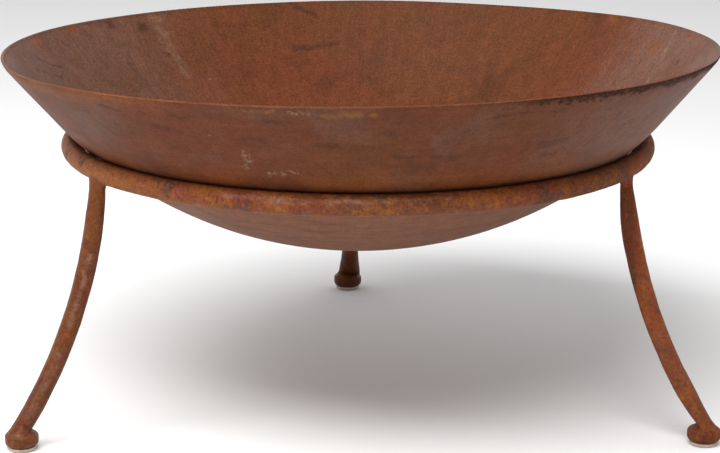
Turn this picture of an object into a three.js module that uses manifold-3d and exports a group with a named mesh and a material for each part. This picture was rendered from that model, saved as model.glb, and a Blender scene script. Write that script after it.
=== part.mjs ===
// A rusted steel fire bowl that rests loose in a three-legged ring stand, used as an open coal hearth.
// Millimetres, +Z up. The floor is z = 0, and the origin is the centre of the object's plan outline.

import * as THREE from "three";
import { mergeVertices } from "three/addons/utils/BufferGeometryUtils.js";
import Module from "manifold-3d";

const wasm = await Module();
wasm.setup();

// Driving dimensions of the bowl: a spun dish with a straight flared wall and a short steeper lip.
const RIM_RADIUS = 350;
const RIM_HEIGHT = 350;
const SHEET = 3;
const DISH_RADIUS = 401;
const WALL_SLOPE = radians(49.6);
const LIP_HEIGHT = 4.5;
const LIP_SLOPE = radians(70);
// The dish is part of a ball, so it can sit a little off level in the ring: right and front sides up.
const TILT_RIGHT = radians(0.65);
const TILT_FRONT = radians(1.1);

// Driving dimensions of the stand.
const RING_RADIUS = 282;
const RING_BAR = 20;
const LEG_BAR = 18;
const LEG_TOP_RADIUS = 284;
const LEG_TOP_LEAN = radians(3);
const FOOT_DIAMETER = 31.6;
const FOOT_HEIGHT = 14;
const FOOT_TOP_ROUNDING = 4.6;
const FOOT_BOTTOM_ROUNDING = 3.2;
const PAD_DIAMETER = 27;
const PAD_HEIGHT = 3.5;
const PAD_EDGE = 0.8;
const CLOSING_ANGLE = radians(128);
const CLOSING_GAP = 5;

// Welds: the radius of each bead, the rise of the closing weld, and how far a foot weld tucks under its toe.
const RING_WELD_BEAD = 2.2;
const FOOT_WELD_LEAST = 2;
const FOOT_WELD_MOST = 4;
const FOOT_WELD_TUCK = 1;
const CLOSING_CROWN = 1.2;

// Each leg is forged by hand, so no two are alike. The neck at its top is drawn down to a half width. The
// toe at its bottom is flattened to a half thickness and a half breadth. Footing is how far out its foot
// stands. Lean is how far its toe leans out, and angle is where it stands round the ring, in degrees.
const LEGS = [
  { name: "rear", angle: 89.9, lean: 39, neck: 7, toe: 7.5, breadth: 12.5, footing: 369.5 },
  { name: "left", angle: 210, lean: 37.9, neck: 7.6, toe: 8.2, breadth: 10.5, footing: 369.3 },
  { name: "right", angle: 330, lean: 39, neck: 6.2, toe: 5.4, breadth: 10.5, footing: 371 },
];

// Touching pieces keep this gap.
const GAP = 0.3;

// Worked out from the driving dimensions.
const lipFoot = RIM_RADIUS - LIP_HEIGHT / Math.tan(LIP_SLOPE);
const wallFoot = DISH_RADIUS * Math.sin(WALL_SLOPE);
const wallDepth = LIP_HEIGHT + (lipFoot - wallFoot) * Math.tan(WALL_SLOPE);
const dishCentre = RIM_HEIGHT - wallDepth + DISH_RADIUS * Math.cos(WALL_SLOPE);
const ringBar = RING_BAR / 2;
const ringHeight = dishCentre - Math.sqrt((DISH_RADIUS + ringBar + GAP) ** 2 - RING_RADIUS ** 2);
const legBar = LEG_BAR / 2;
const footTop = PAD_HEIGHT + FOOT_HEIGHT;

// Facets.
const ROUND = 72;
const BAR_SIDES = 12;
const LEG_STEPS = 24;
const BEAD_STEPS = 24;
const BEAD_SIDES = 8;
const DISH_FINENESS = 5;
const ROUNDING_FINENESS = 2;

// Vertices closer than this are one vertex.
const MERGE = 1e-3;

// A ring that only cuts other pieces is open by no more than this at its seam.
const SEAM = 0.5;

const rust = new THREE.MeshStandardMaterial({ color: 0x6f4533, roughness: 0.8, metalness: 0.3 });
const barRust = new THREE.MeshStandardMaterial({ color: 0x84482a, roughness: 0.75, metalness: 0.3 });
const weldRust = new THREE.MeshStandardMaterial({ color: 0x6b3f2b, roughness: 0.8, metalness: 0.3 });
const padPlastic = new THREE.MeshStandardMaterial({ color: 0xd6c6b2, roughness: 0.6, metalness: 0 });

function radians(degrees) {
  return (degrees * Math.PI) / 180;
}

// A lathed solid about +Z, from a half outline of (radius, height). Each arc of it has 2 * fineness steps.
function turned(outline, fineness, sides) {
  return new THREE.LatheGeometry(outline.getPoints(fineness), sides).rotateX(Math.PI / 2);
}

// A bar along a path: a closed cylinder bent along it. halfWidths(t) gives the section's half widths
// in the path's plane and across it, and up is the direction across the path's plane.
function bentBar(path, up, sides, steps, halfWidths) {
  const geometry = new THREE.CylinderGeometry(1, 1, 1, sides, steps);
  const position = geometry.getAttribute("position");
  const vertex = new THREE.Vector3();
  for (let i = 0; i < position.count; i++) {
    vertex.fromBufferAttribute(position, i);
    const t = THREE.MathUtils.clamp(0.5 - vertex.y, 0, 1);
    const inPlane = new THREE.Vector3().crossVectors(path.getTangent(t), up);
    const [wide, deep] = halfWidths(t);
    const place = path
      .getPoint(t)
      .addScaledVector(inPlane, vertex.z * wide)
      .addScaledVector(up, vertex.x * deep);
    position.setXYZ(i, place.x, place.y, place.z);
  }
  return geometry;
}

// A circular arc in an upright plane through the Z axis, from one lean angle to another.
class LeanArc extends THREE.Curve {
  constructor(start, angle, leanFrom, leanTo, drop) {
    super();
    const bend = drop / (Math.sin(leanTo) - Math.sin(leanFrom));
    Object.assign(this, { start, angle, leanFrom, leanTo, bend });
  }

  getPoint(t) {
    const lean = THREE.MathUtils.lerp(this.leanFrom, this.leanTo, t);
    const out = this.start.x + this.bend * (Math.cos(this.leanFrom) - Math.cos(lean));
    const height = this.start.y - this.bend * (Math.sin(lean) - Math.sin(this.leanFrom));
    return new THREE.Vector3(out * Math.cos(this.angle), out * Math.sin(this.angle), height);
  }
}

// A level circle, or part of one, about the Z axis.
class LevelArc extends THREE.Curve {
  constructor(radius, height, from, sweep) {
    super();
    Object.assign(this, { radius, height, from, sweep });
  }

  getPoint(t) {
    const a = this.from + t * this.sweep;
    return new THREE.Vector3(this.radius * Math.cos(a), this.radius * Math.sin(a), this.height);
  }
}

// A bead of weld laid along a closed path, with its own radius at each place.
function bead(path, steps, sides, radiusAt) {
  const geometry = new THREE.TubeGeometry(path, steps, 1, sides, true);
  const position = geometry.getAttribute("position");
  const vertex = new THREE.Vector3();
  for (let i = 0; i < position.count; i++) {
    const t = Math.floor(i / (sides + 1)) / steps;
    const centre = path.getPointAt(t % 1);
    vertex.fromBufferAttribute(position, i).sub(centre).multiplyScalar(radiusAt(t % 1)).add(centre);
    position.setXYZ(i, vertex.x, vertex.y, vertex.z);
  }
  return geometry;
}

function solid(geometry) {
  const bare = geometry.index ? geometry.toNonIndexed() : geometry.clone();
  bare.deleteAttribute("normal");
  bare.deleteAttribute("uv");
  const merged = mergeVertices(bare, MERGE);
  return new wasm.Manifold(
    new wasm.Mesh({
      numProp: 3,
      vertProperties: merged.getAttribute("position").array,
      triVerts: new Uint32Array(merged.index.array),
    }),
  );
}

function geometryOf(made) {
  const mesh = made.getMesh();
  return new THREE.BufferGeometry()
    .setAttribute("position", new THREE.BufferAttribute(mesh.vertProperties, 3))
    .setIndex(new THREE.BufferAttribute(mesh.triVerts, 1));
}

function add(group, name, geometry, material) {
  const mesh = new THREE.Mesh(geometry, material);
  mesh.name = name;
  group.add(mesh);
}

// The bowl's half outline, about the dish's centre: underside out to the rim, then back down inside.
function bowlOutline() {
  const lipTop = RIM_HEIGHT - dishCentre;
  const lipWall = SHEET / Math.sin(LIP_SLOPE);
  const innerWall = (DISH_RADIUS - SHEET) * Math.sin(WALL_SLOPE);
  const innerWallHeight = -(DISH_RADIUS - SHEET) * Math.cos(WALL_SLOPE);
  const innerLip = lipTop - LIP_HEIGHT;
  const innerLipRadius = innerWall + (innerLip - innerWallHeight) / Math.tan(WALL_SLOPE);
  const down = -Math.PI / 2;
  return new THREE.Path()
    .absarc(0, 0, DISH_RADIUS, down, down + WALL_SLOPE, false)
    .lineTo(lipFoot, lipTop - LIP_HEIGHT)
    .lineTo(RIM_RADIUS, lipTop)
    .lineTo(RIM_RADIUS - lipWall, lipTop)
    .lineTo(innerLipRadius, innerLip)
    .lineTo(innerWall, innerWallHeight)
    .absarc(0, 0, DISH_RADIUS - SHEET, down + WALL_SLOPE, down, true);
}

function bowl() {
  const group = new THREE.Group();
  group.position.set(0, 0, dishCentre);
  group.rotation.set(-TILT_FRONT, -TILT_RIGHT, 0);
  add(group, "fire_bowl", turned(bowlOutline(), DISH_FINENESS, ROUND), rust);
  return group;
}

// The ring is one bar bent round, and a butt weld closes it. The weld is flush where the bowl rests.
function ringPath(gap) {
  const half = gap / 2 / RING_RADIUS;
  return new LevelArc(RING_RADIUS, ringHeight, CLOSING_ANGLE + half, 2 * Math.PI - 2 * half);
}

function ring(growth, gap) {
  const bar = ringBar + growth;
  return bentBar(ringPath(gap), new THREE.Vector3(0, 0, 1), BAR_SIDES, ROUND, () => [bar, bar]);
}

function closingWeld() {
  const half = CLOSING_GAP / 2 - GAP;
  const outline = new THREE.Path()
    .moveTo(0, -half)
    .lineTo(ringBar, -half)
    .quadraticCurveTo(ringBar + 2 * CLOSING_CROWN, 0, ringBar, half)
    .lineTo(0, half);
  const geometry = new THREE.LatheGeometry(outline.getPoints(ROUNDING_FINENESS), 2 * BAR_SIDES);
  const away = new THREE.Vector2(RING_RADIUS, ringHeight - dishCentre).setLength(CLOSING_CROWN);
  geometry.translate(RING_RADIUS + away.x, 0, ringHeight + away.y);
  return geometry.rotateZ(CLOSING_ANGLE);
}

// A leg's centre line: from the ring's centre line to a little below the foot's top, where it is trimmed.
function legPath(leg) {
  const start = new THREE.Vector2(LEG_TOP_RADIUS, ringHeight);
  const drop = ringHeight - footTop + ringBar / 2;
  return new LeanArc(start, radians(leg.angle), LEG_TOP_LEAN, radians(leg.lean), drop);
}

// A place given for a leg along +X, carried round the Z axis to where the leg stands.
function carried(leg, x, y, z) {
  return new THREE.Vector3(x, y, z).applyAxisAngle(new THREE.Vector3(0, 0, 1), radians(leg.angle));
}

// The neck widens to the full bar over the first share of the leg, and the toe flattens over the last.
function legWidths(leg, growth) {
  const neckShare = 0.22;
  const toeShare = 0.2;
  return (t) => {
    const neck = 1 - THREE.MathUtils.smoothstep(t, 0, neckShare);
    const toe = THREE.MathUtils.smoothstep(t, 1 - toeShare, 1);
    const bar = THREE.MathUtils.lerp(legBar, leg.neck, neck);
    const thick = THREE.MathUtils.lerp(bar, leg.toe, toe);
    const broad = THREE.MathUtils.lerp(bar, leg.breadth, toe);
    return [thick + growth, broad + growth];
  };
}

function legBarOf(leg, growth) {
  return bentBar(legPath(leg), carried(leg, 0, 1, 0), BAR_SIDES, LEG_STEPS, legWidths(leg, growth));
}

// Everything below a foot's top, as a wide block that trims what stands on the foot.
function floorBlock(top) {
  const width = 3 * RIM_RADIUS;
  return solid(new THREE.BoxGeometry(width, width, top + RING_BAR).translate(0, 0, (top - RING_BAR) / 2));
}

// The line where a leg's neck meets the underside of the ring.
class NeckLine extends THREE.Curve {
  constructor(leg) {
    super();
    this.leg = leg;
  }

  getPoint(t) {
    const a = 2 * Math.PI * t;
    const across = this.leg.neck * Math.cos(a);
    const out = LEG_TOP_RADIUS + this.leg.neck * Math.sin(a);
    const below = Math.sqrt(ringBar ** 2 - (out - RING_RADIUS) ** 2);
    return carried(this.leg, out, across, ringHeight - below);
  }
}

function ringWeld(leg) {
  const laid = solid(bead(new NeckLine(leg), BEAD_STEPS, BEAD_SIDES, () => RING_WELD_BEAD));
  return laid.subtract(solid(ring(GAP, SEAM))).subtract(solid(legBarOf(leg, GAP)));
}

// The line where a leg's toe meets its foot's top, kept to the flat of that top.
class ToeLine extends THREE.Curve {
  constructor(leg) {
    super();
    this.leg = leg;
    this.offset = toeRadius(leg) - leg.footing;
    this.halfLength = leg.toe / Math.cos(radians(leg.lean));
    this.halfBreadth = leg.breadth - FOOT_WELD_TUCK;
  }

  getPoint(t) {
    const a = 2 * Math.PI * t;
    const flat = FOOT_DIAMETER / 2 - FOOT_TOP_ROUNDING;
    const out = this.offset + this.halfLength * Math.cos(a);
    const onTop = new THREE.Vector2(out, this.halfBreadth * Math.sin(a)).clampLength(0, flat);
    return carried(this.leg, this.leg.footing + onTop.x, onTop.y, footTop);
  }
}

// How far from the stand's axis a leg's centre line reaches the foot's top.
function toeRadius(leg) {
  const path = legPath(leg);
  const lean = Math.asin(Math.sin(path.leanFrom) + (ringHeight - footTop) / path.bend);
  return LEG_TOP_RADIUS + path.bend * (Math.cos(path.leanFrom) - Math.cos(lean));
}

// The weld is heaviest on the outer side, where the leg leans out over the foot.
function footWeld(leg) {
  const outerShare = (t) => (1 + Math.cos(2 * Math.PI * t)) / 2;
  const size = (t) => THREE.MathUtils.lerp(FOOT_WELD_LEAST, FOOT_WELD_MOST, outerShare(t));
  const laid = solid(bead(new ToeLine(leg), BEAD_STEPS, BEAD_SIDES, size));
  return laid.subtract(floorBlock(footTop + GAP)).subtract(solid(legBarOf(leg, GAP)));
}

function foot(leg) {
  const radius = FOOT_DIAMETER / 2;
  const low = FOOT_BOTTOM_ROUNDING;
  const high = FOOT_TOP_ROUNDING;
  const outline = new THREE.Path()
    .moveTo(0, PAD_HEIGHT)
    .lineTo(radius - low, PAD_HEIGHT)
    .absarc(radius - low, PAD_HEIGHT + low, low, -Math.PI / 2, 0, false)
    .absarc(radius - high, footTop - high, high, 0, Math.PI / 2, false)
    .lineTo(0, footTop);
  return atFoot(turned(outline, ROUNDING_FINENESS, 2 * BAR_SIDES), leg);
}

function pad(leg) {
  const radius = PAD_DIAMETER / 2;
  const outline = new THREE.Path()
    .moveTo(0, 0)
    .lineTo(radius - PAD_EDGE, 0)
    .lineTo(radius, PAD_EDGE)
    .lineTo(radius, PAD_HEIGHT - GAP)
    .lineTo(0, PAD_HEIGHT - GAP);
  return atFoot(turned(outline, ROUNDING_FINENESS, 2 * BAR_SIDES), leg);
}

function atFoot(geometry, leg) {
  const place = carried(leg, leg.footing, 0, 0);
  return geometry.translate(place.x, place.y, place.z);
}

function legAssembly(leg) {
  const group = new THREE.Group();
  const untrimmed = solid(legBarOf(leg, 0));
  const trimmed = untrimmed.subtract(solid(ring(GAP, SEAM))).subtract(floorBlock(footTop + GAP));
  add(group, `leg_${leg.name}`, geometryOf(trimmed), barRust);
  add(group, `ring_weld_${leg.name}`, geometryOf(ringWeld(leg)), weldRust);
  add(group, `foot_weld_${leg.name}`, geometryOf(footWeld(leg)), weldRust);
  add(group, `foot_${leg.name}`, foot(leg), barRust);
  add(group, `foot_pad_${leg.name}`, pad(leg), padPlastic);
  return group;
}

function stand() {
  const group = new THREE.Group();
  add(group, "stand_ring", ring(0, CLOSING_GAP), barRust);
  add(group, "ring_closing_weld", closingWeld(), weldRust);
  group.add(...LEGS.map(legAssembly));
  return group;
}

const forge = new THREE.Group().add(bowl(), stand());
const middle = new THREE.Box3().setFromObject(forge, true).getCenter(new THREE.Vector3());
forge.position.set(-middle.x, -middle.y, 0);

export default forge;
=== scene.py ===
"""Looks of a rusted steel fire bowl that rests loose in a three-legged ring stand.

Metres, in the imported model's own frame. The shapes repeat the CAD model's driving dimensions and add what
a hand-made, rusted piece shows: soft edges, weld fillets, uneven bars, a rim that isn't quite true.
"""

import math

import bpy
from mathutils import Matrix, Vector, noise


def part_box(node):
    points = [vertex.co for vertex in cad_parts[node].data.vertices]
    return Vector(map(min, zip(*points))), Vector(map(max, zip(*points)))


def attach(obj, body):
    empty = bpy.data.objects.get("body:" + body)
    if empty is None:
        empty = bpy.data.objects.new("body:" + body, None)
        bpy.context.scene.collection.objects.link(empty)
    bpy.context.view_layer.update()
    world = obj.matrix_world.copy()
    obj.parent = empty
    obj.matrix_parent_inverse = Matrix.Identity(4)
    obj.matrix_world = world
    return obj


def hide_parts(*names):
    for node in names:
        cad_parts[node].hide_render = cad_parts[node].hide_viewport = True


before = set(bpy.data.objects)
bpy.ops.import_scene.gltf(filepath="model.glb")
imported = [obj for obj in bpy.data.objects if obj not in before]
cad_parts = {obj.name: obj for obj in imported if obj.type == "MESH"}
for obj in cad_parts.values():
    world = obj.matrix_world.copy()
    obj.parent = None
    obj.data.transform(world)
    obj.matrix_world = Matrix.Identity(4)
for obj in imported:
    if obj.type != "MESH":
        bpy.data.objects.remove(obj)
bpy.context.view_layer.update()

MM = 0.001
# A radius below this counts as a point on the axis.
ON_AXIS = 1e-6

# The bowl: a spun dish with a straight flared wall and a short steeper lip.
RIM_RADIUS = 350 * MM
RIM_HEIGHT = 350 * MM
SHEET = 3 * MM
DISH_RADIUS = 401 * MM
WALL_SLOPE = math.radians(49.6)
LIP_HEIGHT = 4.5 * MM
LIP_SLOPE = math.radians(70)
TILT_RIGHT = math.radians(0.65)
TILT_FRONT = math.radians(1.1)

# The stand.
RING_RADIUS = 282 * MM
RING_BAR = 10 * MM
LEG_BAR = 9 * MM
LEG_TOP_RADIUS = 284 * MM
LEG_TOP_LEAN = math.radians(3)
NECK_SHARE = 0.22
TOE_SHARE = 0.2
FOOT_RADIUS = 15.8 * MM
FOOT_TOP = 17.5 * MM
PAD_RADIUS = 13.5 * MM
PAD_HEIGHT = 3.5 * MM
PAD_GAP = 0.3 * MM
CLOSING_ANGLE = math.radians(128)
CLOSING_GAP = 5 * MM

# No two legs are alike. Angle and lean are in degrees, lengths in millimetres. Neck is the half width at the
# top, toe and breadth the half widths at the bottom, footing the foot's distance from the stand's axis, and
# sway how far the leg drifts sideways. The foot's weld climbs it by rise on the outer side and by side_rise
# on its flanks, and reaches from the foot's middle by shelf there.
LEGS = {
    "rear": dict(angle=89.9, lean=39, neck=7, toe=7.5, breadth=12.5, footing=369.5, sway=-2.2,
                 rise=9, side_rise=9, shelf=14.9),
    "left": dict(angle=210, lean=37.9, neck=7.6, toe=8.2, breadth=10.5, footing=369.3, sway=0,
                 rise=9, side_rise=5, shelf=13.4),
    "right": dict(angle=330, lean=39, neck=5.1, toe=5.4, breadth=10.5, footing=371, sway=0,
                  rise=10, side_rise=6, shelf=13.6),
}

# The camera, from the stand's axis on the floor.
CAMERA_AWAY = 2.2082
CAMERA_HEIGHT = 0.7189
CAMERA_ROUND = 0.0335
CAMERA_DOWN = 0.2453
CAMERA_ASIDE = 0.0010
CAMERA_ROLL = 0.0036
CAMERA_LENS = 113.66
CAMERA_SENSOR = 36


def middle(node):
    low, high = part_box(node)
    return (low + high) / 2


def round_axis(angle, out, across=0.0):
    """A level offset from the stand's axis, for a leg or a place at that angle."""
    c, s = math.cos(angle), math.sin(angle)
    return Vector((out * c - across * s, out * s + across * c, 0))


LEFT = LEGS["left"]
AXIS = middle("foot_pad_left") - round_axis(math.radians(LEFT["angle"]), LEFT["footing"] * MM)
AXIS.z = 0
RING_HEIGHT = middle("stand_ring").z
DISH_CENTRE = Vector((AXIS.x, AXIS.y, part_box("fire_bowl")[0].z + DISH_RADIUS))
TILT = Matrix.Rotation(-TILT_FRONT, 3, "X") @ Matrix.Rotation(-TILT_RIGHT, 3, "Y")


# ---------------------------------------------------------------- small helpers

def lerp(a, b, share):
    return a + (b - a) * share


def smooth(value, low, high):
    """0 below low, 1 above high, and a soft step between them."""
    share = min(1, max(0, (value - low) / (high - low)))
    return share * share * (3 - 2 * share)


def ripple(place, size, seed=0):
    """Smooth noise from -1 to 1, with lumps of about that size."""
    return noise.noise(Vector(place) / size + Vector((seed * 7.3, seed * 3.1, seed * 5.7)))


def bezier(start, control, end, steps):
    shares = [i / steps for i in range(steps + 1)]
    return [start * (1 - s) ** 2 + control * 2 * s * (1 - s) + end * s * s for s in shares]


# ---------------------------------------------------------------- meshes

def placed(name, data):
    """A new object in the scene with that data."""
    thing = bpy.data.objects.new(name, data)
    bpy.context.scene.collection.objects.link(thing)
    return thing


def signed_volume(points, faces):
    total = 0
    for face in faces:
        a = points[face[0]]
        for j in range(1, len(face) - 1):
            total += a.dot(points[face[j]].cross(points[face[j + 1]]))
    return total


def skin(name, rows, joined=False):
    """A closed skin over rows of points. Each row is a closed loop, or one point where the skin ends.
    Joined, the last row meets the first, as on a ring."""
    points = [point for row in rows for point in row]
    starts = [0]
    for row in rows:
        starts.append(starts[-1] + len(row))
    faces = []
    pairs = [(i, i + 1) for i in range(len(rows) - 1)]
    if joined:
        pairs.append((len(rows) - 1, 0))
    for i, j in pairs:
        a, b = starts[i], starts[j]
        na, nb = len(rows[i]), len(rows[j])
        for k in range(max(na, nb)):
            m = (k + 1) % max(na, nb)
            if na == 1:
                faces.append((a, b + m, b + k))
            elif nb == 1:
                faces.append((a + k, a + m, b))
            else:
                faces.append((a + k, a + m, b + m, b + k))
    if signed_volume(points, faces) < 0:
        faces = [face[::-1] for face in faces]
    mesh = bpy.data.meshes.new(name)
    mesh.from_pydata(points, [], faces)
    mesh.shade_smooth()
    return placed(name, mesh)


def capped(name, rows):
    """A skin over rows, closed at each end to the middle of its row."""
    ends = [[sum(row, Vector()) / len(row)] for row in (rows[0], rows[-1])]
    return skin(name, [ends[0]] + rows + [ends[1]])


def collar(name, loops):
    """A closed skin round a bar, from its sections."""
    return skin(name, [list(row) for row in zip(*loops)], joined=True)


def roughen(piece, waves, seed, share=None):
    """Moves each point along its normal by noise. Waves are pairs of the lumps' size and height, and share
    may give each point's part of that."""
    mesh = piece.data
    normals = [normal.vector.copy() for normal in mesh.vertex_normals]
    for vertex, normal in zip(mesh.vertices, normals):
        lift = sum(height * ripple(vertex.co, size, seed + i) for i, (size, height) in enumerate(waves))
        vertex.co += normal * lift * (share(vertex.co) if share else 1)
    mesh.update()
    return piece


def on_body(piece, body, node, material):
    """Puts the piece on its body, in place of its CAD node, with its material."""
    piece.data.materials.append(material)
    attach(piece, body)
    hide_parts(node)
    return piece


def turns_round(sides):
    return [2 * math.pi * k / sides for k in range(sides)]


def turned(profile, centre, sides):
    """Rows about an upright axis through centre, from pairs of radius and height."""
    rows = []
    for radius, height in profile:
        if radius < ON_AXIS:
            rows.append([centre + Vector((0, 0, height))])
            continue
        turns = turns_round(sides)
        rows.append([centre + Vector((radius * math.cos(a), radius * math.sin(a), height)) for a in turns])
    return rows


def corner(centre_r, centre_z, wide, high, start, end, steps):
    """Points on a quarter or so of an ellipse, as pairs of radius and height."""
    turns = [math.radians(lerp(start, end, i / steps)) for i in range(steps + 1)]
    return [(centre_r + wide * math.cos(a), centre_z + high * math.sin(a)) for a in turns]


# ---------------------------------------------------------------- the bowl

LIP_FOOT = RIM_RADIUS - LIP_HEIGHT / math.tan(LIP_SLOPE)
WALL_FOOT = DISH_RADIUS * math.sin(WALL_SLOPE)
WALL_FOOT_HEIGHT = -DISH_RADIUS * math.cos(WALL_SLOPE)
RIM_TOP = RIM_HEIGHT - DISH_CENTRE.z
LIP_FOOT_HEIGHT = RIM_TOP - LIP_HEIGHT
LIP_BEND = 3.5 * MM

BOWL_SIDES = 400
DISH_STEPS = 78
WALL_STEPS = 14
LIP_STEPS = 5
EDGE_STEPS = 4
EDGE_ROUNDING = 0.8 * MM

# A shallow dent where the bowl stands clear of the ring and light shows through.
GAP_AZIMUTH = math.radians(204.5)
GAP_PLACE = (math.cos(GAP_AZIMUTH), math.sin(GAP_AZIMUTH))
GAP_DEPTH = 1.2 * MM
CONTACT_RADIUS = DISH_RADIUS * RING_RADIUS / (DISH_RADIUS + RING_BAR)
CONTACT_SWELL = 0.25 * MM

# Where the rim sags, or rises if below 0: degrees round it, how far to each side, and how deep.
RIM_SAGS = [(56, 38, 2.2 * MM), (160, 26, -0.6 * MM), (203, 26, 1.9 * MM)]
RIM_WAVE = 0.25 * MM
# The radius where the sheet starts to follow the rim's sag.
SAG_FROM = WALL_FOOT * 0.93


def outer_line():
    """The outside of the bowl's sheet from its lowest point to its rim: place and outward normal, each in
    the upright half plane about the dish's centre."""
    line = []
    for i in range(DISH_STEPS + 1):
        a = WALL_SLOPE * i / DISH_STEPS
        normal = Vector((math.sin(a), -math.cos(a)))
        line.append((normal * DISH_RADIUS, normal))
    wall_normal = Vector((math.sin(WALL_SLOPE), -math.cos(WALL_SLOPE)))
    lip_normal = Vector((math.sin(LIP_SLOPE), -math.cos(LIP_SLOPE)))
    start = Vector((WALL_FOOT, WALL_FOOT_HEIGHT))
    bend = Vector((LIP_FOOT, LIP_FOOT_HEIGHT))
    along = (bend - start).normalized()
    up = Vector((math.cos(LIP_SLOPE), math.sin(LIP_SLOPE)))
    last = bend - along * LIP_BEND
    for i in range(1, WALL_STEPS + 1):
        line.append((start.lerp(last, i / WALL_STEPS), wall_normal))
    for i, place in enumerate(bezier(last, bend, bend + up * LIP_BEND, LIP_STEPS)[1:], 1):
        line.append((place, wall_normal.lerp(lip_normal, i / LIP_STEPS).normalized()))
    square_top = RIM_TOP - SHEET * math.cos(LIP_SLOPE)
    top = Vector((RIM_RADIUS - SHEET * math.cos(LIP_SLOPE) / math.tan(LIP_SLOPE), square_top))
    line.append((top - up * EDGE_ROUNDING, lip_normal))
    return line, top, up


def rim_sag(azimuth):
    """How far the rim drops there."""
    drop = 0
    for centre, reach, depth in RIM_SAGS:
        away = abs((math.degrees(azimuth) - centre + 180) % 360 - 180)
        drop += depth * smooth(1 - away / reach, 0, 1)
    wave = ripple((math.cos(azimuth), math.sin(azimuth), 0), 0.25, 4)
    return drop + RIM_WAVE * wave


def bowl_profile():
    """The sheet's closed half outline, outside first: place, normal, and 1 on the inside or 0 elsewhere."""
    line, top, up = outer_line()
    across = Vector((-up.y, up.x))
    outline = [(place, normal, 0) for place, normal in line]
    lip_normal = line[-1][1]
    inner_top = top + across * SHEET
    rounding = EDGE_ROUNDING
    edge = bezier(top - up * rounding, top, top + across * rounding, EDGE_STEPS)[1:]
    edge += bezier(inner_top - across * rounding, inner_top, inner_top - up * rounding, EDGE_STEPS)
    outline += [(place, lip_normal, 0) for place in edge]
    outline += [(place - normal * SHEET, normal, 1) for place, normal in line[-2::-1]]
    return outline


def bowl_place(flat, azimuth):
    """A place in the bowl's upright half plane, turned to an azimuth and tilted as the bowl sits."""
    local = Vector((flat.x * math.cos(azimuth), flat.x * math.sin(azimuth), flat.y))
    return DISH_CENTRE + TILT @ local


def dent(flat, azimuth):
    """How far the sheet is pushed in there by broad, shallow dents. It swells a little where it rests on the
    ring, but for the gap."""
    place = (flat.x * math.cos(azimuth), flat.x * math.sin(azimuth), flat.y)
    broad = 0.5 + 0.5 * ripple(place, 0.07, 1)
    small = 0.5 + 0.5 * ripple(place, 0.022, 2)
    held = 1 - smooth(abs(flat.x - CONTACT_RADIUS), 8 * MM, 30 * MM)
    pushed = (0.35 * MM * broad + 0.12 * MM * small) * (1 - held)
    away = Vector((math.cos(azimuth), math.sin(azimuth))) - Vector(GAP_PLACE)
    return pushed - CONTACT_SWELL * held + GAP_DEPTH * (1 - smooth(away.length, 0.012, 0.045)) * held


def bowl():
    rows = []
    for flat, normal, inner in bowl_profile():
        if flat.x < ON_AXIS:
            rows.append([bowl_place(flat - normal * dent(flat, 0), 0)])
            continue
        inside_place = flat if inner else flat - normal * SHEET
        share = smooth(flat.x, SAG_FROM, RIM_RADIUS)
        row = []
        for azimuth in turns_round(BOWL_SIDES):
            moved = flat - normal * dent(inside_place, azimuth)
            moved.y -= share * rim_sag(azimuth)
            row.append(bowl_place(moved, azimuth))
        rows.append(row)
    piece = skin("rusted_bowl", rows)
    piece = on_body(piece, "bowl", "fire_bowl", bowl_outside_rust())
    piece.data.materials.append(bowl_inside_rust())
    inside_from = len(outer_line()[0]) + EDGE_STEPS
    first_inside = (inside_from - 1) * BOWL_SIDES
    for face in piece.data.polygons:
        face.material_index = int(face.index >= first_inside)
    return piece


def on_bowl(azimuth, down, inside):
    """A place on the bowl's surface, from degrees round it and millimetres from the rim along the sheet."""
    wall = (RIM_RADIUS - WALL_FOOT) / math.cos(WALL_SLOPE)
    below = down * MM - wall
    slope = WALL_SLOPE if below < 0 else WALL_SLOPE - below / DISH_RADIUS
    normal = Vector((math.sin(slope), -math.cos(slope)))
    place = normal * DISH_RADIUS
    if below < 0:
        place += Vector((math.cos(WALL_SLOPE), math.sin(WALL_SLOPE))) * -below
    return bowl_place(place - normal * (SHEET if inside else 0), math.radians(azimuth))


# ---------------------------------------------------------------- the ring

RING_STEPS = 880
BAR_SIDES = 32


def on_ring(angle, turn, grow=0.0):
    """A place on the ring's bar. Turn 0 is its lowest line, and 90 degrees its outermost."""
    bar = RING_BAR + grow
    place = AXIS + round_axis(angle, RING_RADIUS + bar * math.sin(turn))
    place.z = RING_HEIGHT - bar * math.cos(turn)
    return place


def bar_row(angle, grow):
    return [on_ring(angle, turn, grow) for turn in turns_round(BAR_SIDES)]


def clear_of_bowl(place):
    """0 along the line where the bowl rests on the ring, and 1 away from it."""
    gap = (place - DISH_CENTRE).length - DISH_RADIUS
    return smooth(gap, 0.8 * MM, 3.5 * MM)


def ring():
    half = CLOSING_GAP / 2 / RING_RADIUS
    first, sweep = CLOSING_ANGLE + half, 2 * math.pi - 2 * half
    rows = [bar_row(first + sweep * i / RING_STEPS, 0) for i in range(RING_STEPS + 1)]
    piece = capped("rusted_ring", rows)
    roughen(piece, [(0.045, 0.22 * MM), (0.014, 0.25 * MM), (0.0045, 0.16 * MM)], 11, clear_of_bowl)
    return on_body(piece, "stand", "stand_ring", bar_rust())


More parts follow.
